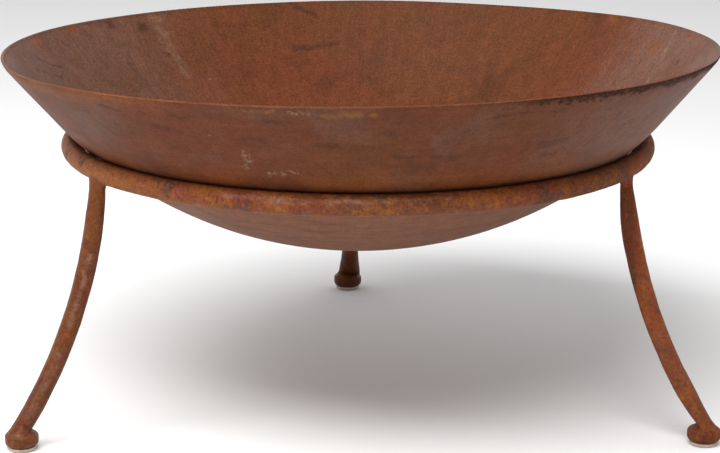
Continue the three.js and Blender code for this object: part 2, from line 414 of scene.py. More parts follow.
def closing_weld():
    """A narrow bead across the ring's butt joint, proud outside and flush where the bowl rests."""
    crown = 1.1 * MM
    reach = 4.2 * MM
    steps = 22
    outward = Vector((RING_RADIUS, RING_HEIGHT - DISH_CENTRE.z)).normalized() * crown
    rows = []
    for i in range(steps + 1):
        share = i / steps * 2 - 1
        bulge = math.sqrt(max(0, 1 - share * share))
        angle = CLOSING_ANGLE + share * reach / RING_RADIUS
        shift = round_axis(angle, outward.x * bulge)
        shift.z = outward.y * bulge
        rows.append([place + shift for place in bar_row(angle, (bulge - 0.35) * 0.9 * MM)])
    piece = capped("closing_weld_bead", rows)
    roughen(piece, [(0.006, 0.3 * MM), (0.0025, 0.15 * MM)], 31)
    return on_body(piece, "stand", "ring_closing_weld", weld_rust())


# ---------------------------------------------------------------- the legs

LEG_STEPS = 150
LEG_SIDES = 36
COLLAR_SIDES = 72
# The leg starts this share of its length down, so that it ends inside the weld.
LEG_START = 0.005
# How far weld edges sink into the metal they lie on.
WELD_SINK = 0.15 * MM
# A ring weld stays just short of the bar's widest line, which would be 1.
WIDEST = 0.98


def leg_bend(leg):
    """The radius of a leg's curve and its lean at the bottom end."""
    lean = math.radians(leg["lean"])
    drop = RING_HEIGHT - FOOT_TOP + RING_BAR / 2
    return drop / (math.sin(lean) - math.sin(LEG_TOP_LEAN)), lean


def leg_place(leg, out, across, height):
    place = AXIS + round_axis(math.radians(leg["angle"]), out, across)
    place.z = height
    return place


def on_leg(leg, share, turn, grow=0.0):
    """A place on a leg: share 0 is at the ring and 1 in its foot, and turn 0 is its outer side."""
    bend, low_lean = leg_bend(leg)
    lean = lerp(LEG_TOP_LEAN, low_lean, share)
    neck = 1 - smooth(share, 0, NECK_SHARE)
    toe = smooth(share, 1 - TOE_SHARE, 1)
    bar = lerp(LEG_BAR, leg["neck"] * MM, neck)
    thick = lerp(bar, leg["toe"] * MM, toe) + grow
    broad = lerp(bar, leg["breadth"] * MM, toe) + grow
    out = LEG_TOP_RADIUS + bend * (math.cos(LEG_TOP_LEAN) - math.cos(lean))
    height = RING_HEIGHT - bend * (math.sin(lean) - math.sin(LEG_TOP_LEAN))
    out += thick * math.cos(turn) * math.cos(lean)
    height += thick * math.cos(turn) * math.sin(lean)
    across = broad * math.sin(turn) + leg["sway"] * MM * smooth(share, 0, 0.8)
    return leg_place(leg, out, across, height)


def leg_at_height(leg, turn, height, grow=0.0):
    """Where the line along a leg at that turn reaches a height."""
    low, high = 0.0, 1.08
    for _ in range(30):
        share = (low + high) / 2
        if on_leg(leg, share, turn, grow).z > height:
            low = share
        else:
            high = share
    return on_leg(leg, low, turn, grow)


def leg_bar(name, leg, seed):
    shares = [lerp(LEG_START, 1, i / LEG_STEPS) for i in range(LEG_STEPS + 1)]
    rows = [[on_leg(leg, share, turn) for turn in turns_round(LEG_SIDES)] for share in shares]
    piece = capped(f"rusted_leg_{name}", rows)
    roughen(piece, [(0.035, 0.35 * MM), (0.012, 0.22 * MM), (0.004, 0.1 * MM)], seed)
    rust = shaded_rust() if name == "rear" else leg_rust()
    return on_body(piece, "stand", f"leg_{name}", rust)


def ring_collar(name, leg, seed):
    """The fillet of weld between a leg's neck and the underside of the ring."""
    neck = leg["neck"] * MM
    angle = math.radians(leg["angle"])
    aside = LEG_TOP_RADIUS - RING_RADIUS
    centre_turn = math.asin(aside / RING_BAR)
    loops = []
    for turn in turns_round(COLLAR_SIDES):
        wobble = ripple((math.cos(turn), math.sin(turn), seed), 0.6)
        outer = 0.5 + 0.5 * math.cos(turn)
        rise = (6.5 + 4 * outer + 1.5 * wobble) * MM
        reach = (4.4 + 0.8 * wobble - 1.2 * abs(math.cos(turn))) * MM
        along = neck * math.sin(turn)
        bar_turn = math.asin(min(WIDEST, (aside + neck * math.cos(turn)) / RING_BAR))
        away = Vector((along, (bar_turn - centre_turn) * RING_BAR))
        step = away.normalized() * reach
        ring_turn = bar_turn + step.y / RING_BAR
        contact = on_ring(angle + along / RING_RADIUS, bar_turn)
        upper = on_ring(angle + (along + step.x) / RING_RADIUS, ring_turn, -WELD_SINK)
        lower = leg_at_height(leg, turn, contact.z - rise, -WELD_SINK)
        fillet = bezier(lower, contact.lerp((lower + upper) / 2, 0.5), upper, 8)
        inner_upper = on_ring(angle + along * 0.8 / RING_RADIUS, bar_turn, -2.5 * MM)
        inner_lower = leg_at_height(leg, turn, contact.z - rise * 0.7, -2 * MM)
        loops.append(fillet + [inner_upper, inner_lower])
    piece = collar(f"ring_weld_collar_{name}", loops)
    roughen(piece, [(0.008, 0.22 * MM), (0.003, 0.1 * MM)], seed)
    return on_body(piece, "stand", f"ring_weld_{name}", weld_rust())


# ---------------------------------------------------------------- the feet

DOME_WIDTH = 9.6 * MM
DOME_DROP = 5.2 * MM


def foot_height(radius):
    """The height of a foot's domed top at that distance from its middle."""
    share = max(0.0, (radius - (FOOT_RADIUS - DOME_WIDTH)) / DOME_WIDTH)
    return FOOT_TOP - DOME_DROP * (1 - math.sqrt(max(0.0, 1 - min(1.0, share) ** 2)))


def foot_centre(leg):
    return AXIS + round_axis(math.radians(leg["angle"]), leg["footing"] * MM)


def foot(name, leg, seed):
    low = 4.2 * MM
    profile = [(FOOT_RADIUS * share, PAD_HEIGHT) for share in (0, 0.2, 0.4, 0.6)]
    profile += corner(FOOT_RADIUS - low, PAD_HEIGHT + low, low, low, -90, 0, 10)
    side_low = PAD_HEIGHT + low
    side_high = FOOT_TOP - DOME_DROP
    profile += [(FOOT_RADIUS, lerp(side_low, side_high, i / 5)) for i in range(1, 5)]
    profile += corner(FOOT_RADIUS - DOME_WIDTH, side_high, DOME_WIDTH, DOME_DROP, 0, 90, 16)
    profile += [(FOOT_RADIUS * share, FOOT_TOP) for share in (0.25, 0.1, 0)]
    piece = skin(f"forged_foot_{name}", turned(profile, foot_centre(leg), 72))
    roughen(piece, [(0.014, 0.35 * MM), (0.005, 0.18 * MM)], seed)
    rust = shaded_rust() if name == "rear" else foot_rust()
    return on_body(piece, "stand", f"foot_{name}", rust)


def foot_collar(name, leg, seed):
    """The weld between a leg's toe and its foot, heavy on the outer side and the flanks."""
    centre = foot_centre(leg)
    loops = []
    low = 1.2
    for turn in turns_round(COLLAR_SIDES):
        wobble = ripple((math.cos(turn), math.sin(turn), seed), 0.5)
        outer = smooth(math.cos(turn), -0.2, 1)
        flank = abs(math.sin(turn)) * (1 - outer) * smooth(math.cos(turn), -1, 0.1)
        rise = (low + (leg["rise"] - low) * outer + (leg["side_rise"] - low) * flank + 0.9 * wobble) * MM
        contact = leg_at_height(leg, turn, FOOT_TOP - 1 * MM)
        away = contact - centre
        away.z = 0
        least = min(away.length + 1.2 * MM, FOOT_RADIUS - 0.8 * MM)
        wide = lerp(leg["shelf"] * MM, FOOT_RADIUS - 0.3 * MM, outer)
        reach = lerp(least, max(least, wide), min(1, outer + flank))
        lower = centre + away.normalized() * reach
        lower.z = foot_height(reach) - 0.2 * MM
        upper = leg_at_height(leg, turn, FOOT_TOP + rise, -WELD_SINK)
        fillet = bezier(upper, contact, lower, 12)
        inner_lower = centre + away * 0.8
        inner_lower.z = FOOT_TOP - 4 * MM
        inner_upper = leg_at_height(leg, turn, FOOT_TOP + rise * 0.7, -2.5 * MM)
        loops.append(fillet + [inner_lower, inner_upper])
    piece = collar(f"foot_weld_collar_{name}", loops)
    roughen(piece, [(0.008, 0.25 * MM), (0.003, 0.12 * MM)], seed)
    rust = shaded_rust() if name == "rear" else weld_rust()
    return on_body(piece, "stand", f"foot_weld_{name}", rust)


def pad(name, leg):
    edge = 0.9 * MM
    top = PAD_HEIGHT - PAD_GAP
    profile = [(PAD_RADIUS * share, 0) for share in (0, 0.3, 0.6, 0.8)]
    profile += corner(PAD_RADIUS - edge, edge, edge, edge, -90, 0, 5)
    profile += corner(PAD_RADIUS - edge / 2, top - edge / 2, edge / 2, edge / 2, 0, 90, 4)
    profile += [(PAD_RADIUS * share, top) for share in (0.8, 0.4, 0)]
    piece = skin(f"glide_pad_{name}", turned(profile, foot_centre(leg), 72))
    return on_body(piece, "stand", f"foot_pad_{name}", pad_plastic())


# ---------------------------------------------------------------- materials

# A noise node's lumps are about this wide at scale 1, in metres.
LUMP = 0.6


def soft_step(nodes, low, high, bottom, top):
    """A node that maps low..high to bottom..top with a soft step."""
    node = nodes.new("ShaderNodeMapRange")
    node.interpolation_type = "SMOOTHSTEP"
    for key, number in (("From Min", low), ("From Max", high), ("To Min", bottom), ("To Max", top)):
        node.inputs[key].default_value = number
    return node


class Recipe:
    """Builds one node material in the piece's own coordinates in metres, by laying tints over a base."""

    def __init__(self, name, base):
        self.material = bpy.data.materials.new(name)
        self.material.use_nodes = True
        self.nodes = self.material.node_tree.nodes
        self.links = self.material.node_tree.links
        self.nodes.clear()
        self.place = self.nodes.new("ShaderNodeTexCoord").outputs["Object"]
        self.colour = base

    def feed(self, socket, value):
        if isinstance(value, bpy.types.NodeSocket):
            self.links.new(value, socket)
        else:
            socket.default_value = value

    def math(self, operation, *values):
        node = self.nodes.new("ShaderNodeMath")
        node.operation = operation
        for socket, value in zip(node.inputs, values):
            self.feed(socket, value)
        return node.outputs[0]

    def vector(self, operation, *values, output="Vector"):
        node = self.nodes.new("ShaderNodeVectorMath")
        node.operation = operation
        for socket, value in zip(node.inputs, values):
            self.feed(socket, value)
        return node.outputs[output]

    def add(self, first, second):
        return self.math("ADD", first, second)

    def dot(self, first, second):
        return self.vector("DOT_PRODUCT", first, second, output="Value")

    def distance(self, first, second):
        return self.vector("DISTANCE", first, tuple(second), output="Value")

    def product(self, *values):
        total = values[0]
        for value in values[1:]:
            total = self.math("MULTIPLY", total, value)
        return total

    def noise(self, size, detail=2.0, rough=0.5, place=None, seed=0):
        """Noise from about 0 to 1, with lumps of about that size in metres."""
        node = self.nodes.new("ShaderNodeTexNoise")
        where = self.vector("ADD", place or self.place, (seed * 1.37, seed * 0.71, seed * 0.53))
        self.feed(node.inputs["Vector"], where)
        node.inputs["Scale"].default_value = LUMP / size
        node.inputs["Detail"].default_value = detail
        node.inputs["Roughness"].default_value = rough
        return node.outputs[0]

    def spread(self, value, low, high, bottom=0.0, top=1.0):
        """Maps low..high to bottom..top with a soft step."""
        node = soft_step(self.nodes, low, high, bottom, top)
        self.feed(node.inputs["Value"], value)
        return node.outputs[0]

    def mix(self, under, over, share):
        node = self.nodes.new("ShaderNodeMix")
        node.data_type = "RGBA"
        colours = [socket for socket in node.inputs if socket.type == "RGBA"]
        self.feed(node.inputs[0], share)
        for socket, colour in zip(colours, (under, over)):
            self.feed(socket, colour if isinstance(colour, bpy.types.NodeSocket) else (*colour, 1.0))
        return [socket for socket in node.outputs if socket.type == "RGBA"][0]

    def cover(self, tint, *shares):
        """Lays a tint over the colour, as far as the shares multiply to."""
        self.colour = self.mix(self.colour, tint, self.product(*shares))

    def shade(self, *shares):
        """Makes the colour lighter or darker by the shares."""
        self.colour = self.scaled(self.colour, self.product(*shares))

    def scaled(self, colour, share):
        node = self.nodes.new("ShaderNodeVectorMath")
        node.operation = "SCALE"
        self.feed(node.inputs[0], colour)
        self.feed(node.inputs["Scale"], share)
        return node.outputs[0]

    def spot(self, centre, radius, place):
        """1 at a centre and 0 beyond the radius."""
        return self.spread(self.distance(place, centre), radius * 0.1, radius, 1, 0)

    def stroke(self, start, end, width, place):
        """1 along a straight line between two places and 0 beyond the width."""
        along = end - start
        offset = self.vector("SUBTRACT", place, tuple(start))
        ahead = tuple(along / along.length_squared)
        share = self.math("MULTIPLY", self.dot(offset, ahead), 1.0)
        share.node.use_clamp = True
        nearest = self.scaled(tuple(along), share)
        away = self.vector("DISTANCE", offset, nearest, output="Value")
        return self.spread(away, width * 0.2, width, 1, 0)

    def most(self, masks):
        total = masks[0]
        for mask in masks[1:]:
            total = self.math("MAXIMUM", total, mask)
        return total

    def finish(self, roughness, height, specular):
        bump = self.nodes.new("ShaderNodeBump")
        bump.inputs["Strength"].default_value = 1.0
        bump.inputs["Distance"].default_value = 1.0
        self.feed(bump.inputs["Height"], height)
        shader = self.nodes.new("ShaderNodeBsdfPrincipled")
        self.feed(shader.inputs["Base Color"], self.colour)
        self.feed(shader.inputs["Roughness"], roughness)
        shader.inputs["IOR"].default_value = 1.5
        shader.inputs["Specular IOR Level"].default_value = specular
        self.feed(shader.inputs["Normal"], bump.outputs["Normal"])
        output = self.nodes.new("ShaderNodeOutputMaterial")
        self.links.new(shader.outputs["BSDF"], output.inputs["Surface"])
        return self.material


def once(maker):
    """Makes a material the first time it is asked for, and then gives that one again."""
    made = []

    def kept():
        if not made:
            made.append(maker())
        return made[0]

    return kept


# Rust colours, linear. Some also carry painted sheen, reflection or highlight, as said where they are used.
BROWN = (0.103, 0.0325, 0.0118)
RED_BROWN = (0.110, 0.0305, 0.0122)
DARK_BROWN = (0.050, 0.0180, 0.0090)
ORANGE = (0.165, 0.0500, 0.0140)
BRIGHT_ORANGE = (0.240, 0.0720, 0.0130)
OCHRE = (0.190, 0.0780, 0.0150)
MAUVE = (0.135, 0.0650, 0.0450)
GREY_SCALE = (0.112, 0.0510, 0.0330)
OLIVE = (0.082, 0.0340, 0.0115)
PALE = (0.220, 0.1400, 0.0900)
DARK_GREY = (0.075, 0.0320, 0.0200)
SCALE_RED = (0.190, 0.0400, 0.0110)
SCALE_BROWN = (0.150, 0.0420, 0.0140)
PINK_SCALE_AND_SHEEN = (0.260, 0.1150, 0.0850)
# The tint of the painted highlights on the ring and the left leg.
HIGHLIGHT_TINT = (0.300, 0.1500, 0.0980)
YELLOW_RUST = (0.360, 0.1250, 0.0150)
UNDERSIDE = (0.160, 0.0700, 0.0420)
BLACK_SCALE = (0.030, 0.0140, 0.0080)


def outward(recipe):
    """The level direction from the stand's axis, and the offset from it."""
    offset = recipe.vector("SUBTRACT", recipe.place, tuple(AXIS))
    return recipe.vector("NORMALIZE", recipe.vector("MULTIPLY", offset, (1, 1, 0))), offset


def downhill(recipe):
    """Coordinates that change slowly down the bowl, for streaks that run down it."""
    direction, offset = outward(recipe)
    drop = recipe.vector("MULTIPLY", offset, (0, 0, 0.12))
    return recipe.vector("ADD", recipe.scaled(direction, RIM_RADIUS), drop)


def spun(recipe):
    """Coordinates that change slowly round the bowl, for the fine lines that spinning leaves."""
    direction, offset = outward(recipe)
    radius = recipe.dot(offset, direction)
    height = recipe.dot(offset, (0, 0, 1))
    along = recipe.scaled((0, 0, 1), recipe.add(radius, height))
    return recipe.vector("ADD", recipe.scaled(direction, 0.03), along)


# Tints by sector fade in between these distances from the axis.
WALL_FADE_FROM = 0.4 * RIM_RADIUS
WALL_FADE_TO = 0.8 * RIM_RADIUS


def on_wall(recipe):
    """1 on the bowl's flared wall, fading to 0 towards its middle."""
    direction, offset = outward(recipe)
    radius = recipe.dot(offset, direction)
    return recipe.spread(radius, WALL_FADE_FROM, WALL_FADE_TO)


def sector(recipe, azimuth, reach, soft=10):
    """1 on the part of the wall within reach degrees of an azimuth, and 0 beyond."""
    towards = (math.cos(math.radians(azimuth)), math.sin(math.radians(azimuth)), 0)
    facing = recipe.dot(outward(recipe)[0], towards)
    outer, inner = math.radians(reach), math.radians(max(0, reach - soft))
    near = recipe.spread(facing, math.cos(outer), math.cos(inner))
    return recipe.product(near, on_wall(recipe))


def mottled(recipe, seed, grain):
    """Clouds a side of the bowl, and gives the shade of its mottling and grain, its blotches and speckle."""
    clouds = recipe.noise(0.09, 3, 0.6, seed=seed)
    recipe.cover(RED_BROWN, recipe.spread(clouds, 0.4, 0.6))
    blotches = recipe.noise(0.03, 4, 0.6, seed=seed + 1)
    recipe.cover(DARK_BROWN, recipe.spread(blotches, 0.5, 0.78, 0, 0.55))
    mottling = recipe.noise(0.007, 3, 0.6, seed=seed + 2)
    speckle = recipe.noise(0.0012, 3, 0.7, seed=seed + 3)
    soft = recipe.spread(mottling, 0.3, 0.7, -0.09, 0.09)
    shade = recipe.add(soft, recipe.spread(speckle, 0.3, 0.7, 1 - grain, 1 + grain))
    return shade, blotches, speckle


def marks(recipe, places, inside, place):
    """Spots and strokes on the bowl from a short list. Three numbers are a spot's azimuth in degrees, its
    millimetres below the rim and its radius. Five are a stroke's two ends and its half width."""
    masks = []
    for mark in places:
        start = on_bowl(mark[0], mark[1], inside)
        if len(mark) == 3:
            masks.append(recipe.spot(start, mark[2] * MM, place))
        else:
            masks.append(recipe.stroke(start, on_bowl(mark[2], mark[3], inside), mark[4] * MM, place))
    return recipe.most(masks)


def warped(recipe, size, amount, seed):
    """The piece's coordinates, bent by noise, so that marks have ragged edges."""
    node = recipe.nodes.new("ShaderNodeTexNoise")
    recipe.feed(node.inputs["Vector"], recipe.vector("ADD", recipe.place, (seed, seed, seed)))
    node.inputs["Scale"].default_value = LUMP / size
    node.inputs["Detail"].default_value = 4.0
    node.inputs["Roughness"].default_value = 0.65
    centred = recipe.vector("SUBTRACT", node.outputs["Color"], (0.5, 0.5, 0.5))
    return recipe.vector("ADD", recipe.place, recipe.scaled(centred, amount))


def depth_below_rim(recipe):
    """How far below the rim's level a place is, in metres."""
    low = recipe.vector("SUBTRACT", recipe.place, tuple(DISH_CENTRE))
    up = tuple(TILT @ Vector((0, 0, 1)))
    height = recipe.dot(low, up)
    return recipe.math("SUBTRACT", RIM_TOP, height)


def relief(recipe, *layers):
    """Adds up pairs of a pattern and its height in metres."""
    total = 0.0
    for pattern, height in layers:
        total = recipe.add(total, recipe.math("MULTIPLY", pattern, height))
    return total


# The bowl's marks, placed one by one.
INSIDE_DARK = [
    (140, 8, 9), (130, 54, 6), (102, 60, 98, 60, 6), (98, 59, 92, 57, 4),
    (42.5, 11, 6), (41, 29, 5), (133, 18, 12),
    (168, 22, 165.5, 36, 4), (165.5, 36, 162, 44, 3.5), (172, 34, 168, 46, 3), (168, 46, 163, 56, 3),
    (158, 8, 154.5, 22, 4), (101, 6, 97, 16, 6), (8.6, 34, 8.2, 42, 3),
]
INSIDE_OLIVE = [(91, 6, 20), (78, 27, 30), (122, 62, 42), (66, 10, 24), (108, 14, 22)]
INSIDE_SMEAR = [(128.4, 4, 128.9, 42, 17), (129.0, 42, 128.0, 80, 9)]
INSIDE_PALE = [
    (112.5, 73, 108.5, 75, 1.6), (126, 90, 118, 94, 1.5), (17, 8, 14, 66, 7), (96, 70, 1.6), (84, 30, 1.5),
]
INSIDE_ORANGE = [
    (181, 3, 16), (163, 2, 20), (150, 3, 14), (29, 24, 26, 88, 2.2), (24, 18, 21, 70, 1.5),
    (8.2, 44, 8.8, 60, 2.5), (20, 30, 12), (12, 4, 9), (36, 6, 12),
]


def bowl_inside_rust():
    recipe = Recipe("bowl_inside_rust", BROWN)
    shade, blotches, speckle = mottled(recipe, 1, 0.28)
    ragged = warped(recipe, 0.012, 0.022, 2)
    grey = recipe.noise(0.05, 4, 0.6, seed=8)
    recipe.cover(GREY_SCALE, sector(recipe, 168, 56, 46), recipe.spread(grey, 0.3, 0.55, 0.55, 1))
    # Mauve at the right end: the oxide's tint, partly painted sheen.
    recipe.cover(MAUVE, sector(recipe, 0, 40, 30), recipe.spread(grey, 0.3, 0.6, 0.4, 0.95))
    recipe.cover(OLIVE, marks(recipe, INSIDE_OLIVE, True, ragged), 0.4)
    recipe.cover(ORANGE, marks(recipe, INSIDE_ORANGE, True, ragged), 0.75)
    recipe.cover(DARK_BROWN, marks(recipe, INSIDE_DARK, True, ragged), 0.75)
    flecks = recipe.spread(recipe.noise(0.0035, 4, 0.75, seed=9), 0.46, 0.6)
    smeared = recipe.add(flecks, 0.3)
    recipe.cover(PALE, marks(recipe, INSIDE_SMEAR, True, ragged), smeared, 0.26)
    recipe.cover(PALE, marks(recipe, INSIDE_PALE, True, ragged), flecks, 0.5)
    wear_and_highlight = recipe.noise(0.012, 3, 0.6, downhill(recipe), 7)
    brushed = recipe.noise(0.0018, 3, 0.65, downhill(recipe), 17)
    streaks = recipe.spread(wear_and_highlight, 0.3, 0.7, -0.05, 0.05)
    streaks = recipe.add(streaks, recipe.spread(brushed, 0.3, 0.7, 0.93, 1.07))
    recipe.shade(shade, streaks)
    cracked = recipe.spread(recipe.noise(0.004, 4, 0.75, ragged, 18), 0.54, 0.66, 0, 0.4)
    worn = recipe.most([sector(recipe, 165, 34, 14), sector(recipe, 10, 36, 16)])
    recipe.cover(DARK_BROWN, cracked, worn)
    roughness = recipe.spread(blotches, 0.3, 0.75, 0.55, 0.45)
    pits = recipe.noise(0.006, 3, 0.6, seed=10)
    height = relief(recipe, (speckle, 0.00016), (blotches, 0.0008), (pits, 0.00025))
    return recipe.finish(roughness, height, 0.06)


OUTSIDE_DARK = [
    (249.5, 41, 254, 43, 5), (261, 47, 264, 48, 6), (280, 67, 285, 66, 5), (273, 64, 277, 65, 5),
    (235, 34, 240, 36, 6), (298, 60, 303, 58, 7),
    (312, 30, 309, 70, 3), (318, 24, 315, 60, 2.5), (303, 73, 300, 76, 4), (222, 40, 225, 60, 3),
]
OUTSIDE_LINE = [(254, 14, 288, 14, 4), (226, 15, 246, 13, 3.5), (288, 13, 300, 12, 3)]
OUTSIDE_PALE = [
    (249.2, 60, 248.4, 80, 7), (252.4, 88, 256.6, 86, 4), (244, 40, 3),
    (258, 6, 261.5, 6, 3), (224.2, 0.5, 3.5),
]
OUTSIDE_OCHRE = [(263, 6, 270, 6, 4.5), (250, 3, 256, 4, 3)]
OUTSIDE_RED = [(262, 60, 26), (246, 92, 22), (270, 92, 34), (232, 60, 22), (304, 88, 26)]


def weathering_and_reflections(recipe, blotches, down, smudged):
    """Broad tints: grey patches and orange spots; mauve at the right, partly painted sheen; orange by the
    ring, a painted reflection; and a paler underside, partly painted floor reflection.
    """
    greyed = recipe.spread(recipe.noise(0.045, 4, 0.6, smudged, 8), 0.44, 0.6, 0, 0.45)
    recipe.cover(GREY_SCALE, greyed)
    # Mauve at the right: the oxide's tint, partly painted sheen.
    recipe.cover(MAUVE, sector(recipe, 338, 46, 30), recipe.spread(down, 0.004, 0.03, 0.3, 0.75))
    recipe.cover(ORANGE, marks(recipe, OUTSIDE_RED, False, smudged), 0.2)
    # Orange just above the ring: a painted reflection of the ring.
    near_ring = recipe.product(recipe.spread(down, 0.055, 0.085), recipe.spread(down, 0.1, 0.12, 1, 0))
    recipe.cover(ORANGE, near_ring, recipe.spread(blotches, 0.4, 0.6, 0.5, 0.1))
    # The paler underside: partly painted floor reflection, streaked with dark brown.
    streaks = recipe.noise(0.005, 4, 0.65, spun(recipe), 13)
    under = recipe.mix(UNDERSIDE, DARK_BROWN, recipe.spread(streaks, 0.45, 0.8, 0, 0.45))
    recipe.cover(under, recipe.spread(down, 0.098, 0.12), 0.9)


def rim_bands(recipe, down):
    """The bands under the rim: orange at the left, black crust and flakes at the right, and an ochre edge
    at the left, partly a painted highlight. It gives the dark band and its crust."""
    patchy = recipe.noise(0.02, 4, 0.65, seed=11)
    uneven = recipe.add(down, recipe.spread(patchy, 0.3, 0.7, -0.006, 0.006))
    band = recipe.spread(uneven, 0.008, 0.016, 1, 0)
    recipe.cover(ORANGE, band, sector(recipe, 214, 30, 14), recipe.spread(patchy, 0.35, 0.6, 0.4, 0.95))
    chips = recipe.noise(0.004, 4, 0.75, seed=16)
    ragged = recipe.add(down, recipe.spread(patchy, 0.3, 0.7, -0.002, 0.002))
    ragged = recipe.add(ragged, recipe.spread(chips, 0.3, 0.7, -0.004, 0.004))
    top_strip = recipe.spread(ragged, 0.004, 0.0085, 1, 0)
    dark_band = recipe.product(top_strip, sector(recipe, 332, 48, 16))
    crust = recipe.spread(recipe.noise(0.0022, 4, 0.75, seed=14), 0.35, 0.62, 0.35, 1.0)
    recipe.cover(BLACK_SCALE, dark_band, crust, 0.9)
    flaked = recipe.product(recipe.spread(down, 0.006, 0.022, 1, 0), recipe.spread(chips, 0.52, 0.62))
    recipe.cover(BLACK_SCALE, flaked, sector(recipe, 330, 30, 16), 0.5)
    # The ochre top edge at the left: rust, partly a painted highlight along the lit edge.
    edge = recipe.product(recipe.spread(down, 0.0011, 0.0016, 1, 0), sector(recipe, 218, 45, 12))
    recipe.cover(OCHRE, edge, recipe.spread(patchy, 0.4, 0.6, 0, 0.5))
    return dark_band, crust


def bowl_outside_rust():
    recipe = Recipe("bowl_outside_rust", BROWN)
    shade, blotches, speckle = mottled(recipe, 4, 0.2)
    ragged = warped(recipe, 0.012, 0.02, 5)
    smudged = warped(recipe, 0.03, 0.05, 6)
    down = depth_below_rim(recipe)
    lines = recipe.noise(0.0035, 2, 0.6, spun(recipe), 12)
    weathering_and_reflections(recipe, blotches, down, smudged)
    dark_band, crust = rim_bands(recipe, down)
    recipe.cover(OCHRE, marks(recipe, OUTSIDE_OCHRE, False, ragged), 0.55)
    recipe.cover(DARK_BROWN, marks(recipe, OUTSIDE_DARK, False, ragged), 0.4)
    recipe.cover(DARK_BROWN, marks(recipe, OUTSIDE_LINE, False, ragged), 0.6)
    flecks = recipe.spread(recipe.noise(0.0024, 3, 0.75, seed=15), 0.48, 0.58)
    recipe.cover(PALE, marks(recipe, OUTSIDE_PALE, False, ragged), flecks, 0.6)
    recipe.shade(shade, recipe.spread(lines, 0.3, 0.7, 0.95, 1.05))
    roughness = recipe.spread(blotches, 0.3, 0.75, 0.6, 0.5)
    roughness = recipe.add(roughness, recipe.product(dark_band, 0.3))
    crusted = recipe.product(dark_band, crust)
    height = relief(recipe, (speckle, 0.00012), (blotches, 0.0007), (lines, 0.00006), (crusted, 0.0012))
    return recipe.finish(roughness, height, 0.09)


# Between these distances from the dish's centre, the ring is painted darker, as in the bowl's shade.
SHELTER_FROM = DISH_RADIUS + 2 * MM
SHELTER_TO = DISH_RADIUS + 7 * MM

# Paler, smoother strokes that stand in for the photo's soft highlights. On the ring: from and to, in degrees
# round it, and the half width in millimetres. On the left leg: from and to as shares of its length, and the
# half width.
HIGHLIGHT_RING = [(243, 249, 4), (250, 258, 6.5), (258, 265, 6), (265, 271, 4), (272, 284, 3)]
HIGHLIGHT_LEG = [(0.3, 0.42, 4.5), (0.42, 0.56, 4.5), (0.68, 0.8, 7.5), (0.8, 0.92, 7.5)]
HIGHLIGHT_TURN = math.radians(121)
FRONT_TURN = math.radians(60)


# Strokes of painted highlight, with ragged edges, on the ring's front and the left leg.
def highlight_strokes(recipe, seed):
    masks = []
    ragged = warped(recipe, 0.012, 0.012, seed)
    for first, last, wide in HIGHLIGHT_RING:
        start = on_ring(math.radians(first), HIGHLIGHT_TURN)
        end = on_ring(math.radians(last), HIGHLIGHT_TURN)
        masks.append(recipe.stroke(start, end, wide * MM, ragged))
    for first, last, wide in HIGHLIGHT_LEG:
        start = on_leg(LEFT, first, FRONT_TURN)
        end = on_leg(LEFT, last, FRONT_TURN)
        masks.append(recipe.stroke(start, end, wide * MM, ragged))
    return recipe.most(masks)


def stepped(recipe, value, stops):
    """A line drawn through pairs of (value, result), level before the first and after the last."""
    total = stops[0][1]
    for (low, before), (high, after) in zip(stops, stops[1:]):
        total = recipe.add(total, recipe.spread(value, low, high, 0, after - before))
    return total


def forged_patches(recipe, seed, orange, spotted, leftward):
    """Clouds of brown, and patches of orange, pink that is partly painted sheen, yellow, grey and black.
    It gives the orange's mask, and the noise behind the pink and the black."""
    clouds = recipe.noise(0.05, 3, 0.6, seed=seed)
    recipe.cover(SCALE_BROWN, recipe.spread(clouds, 0.4, 0.6))
    leaning = recipe.spread(leftward, -0.25, 0.2, -0.01, 0.07)
    patches = recipe.add(recipe.noise(0.016, 4, 0.7, seed=seed + 3), leaning)
    rusty = recipe.spread(patches, 0.48, 0.58)
    recipe.cover(BRIGHT_ORANGE, rusty, orange)
    cloudy = recipe.noise(0.01, 4, 0.65, seed=seed + 2)
    # Pink patches: scale, partly painted sheen.
    recipe.cover(PINK_SCALE_AND_SHEEN, recipe.spread(cloudy, 0.52, 0.62), 0.12 * spotted)
    yellow = recipe.noise(0.006, 4, 0.7, seed=seed + 4)
    recipe.cover(YELLOW_RUST, recipe.spread(yellow, 0.56, 0.66, 0, 0.4 * spotted))
    greyish = recipe.spread(recipe.noise(0.018, 4, 0.7, seed=seed + 5), 0.52, 0.64)
    recipe.cover(DARK_GREY, greyish, 0.75 * spotted)
    dark = recipe.noise(0.006, 4, 0.75, seed=seed + 6)
    recipe.cover(BLACK_SCALE, recipe.spread(dark, 0.55, 0.7, 0, 0.45 * spotted))
    return rusty, cloudy, dark


def painted_light(recipe, leftward, shades, beside_bowl):
    """How light the bar is painted, from side to side, beside the bowl and below the ring. It stands in for
    the photo's light, and isn't a property of the rust."""
    height = recipe.dot(recipe.place, (0, 0, 1))
    under_ring = recipe.spread(height, RING_HEIGHT - 7 * MM, RING_HEIGHT + 4 * MM, 0.88, 1.12)
    open_light = recipe.spread(beside_bowl, SHELTER_FROM, SHELTER_TO, 0.5, 1.0)
    return stepped(recipe, leftward, shades), open_light, under_ring


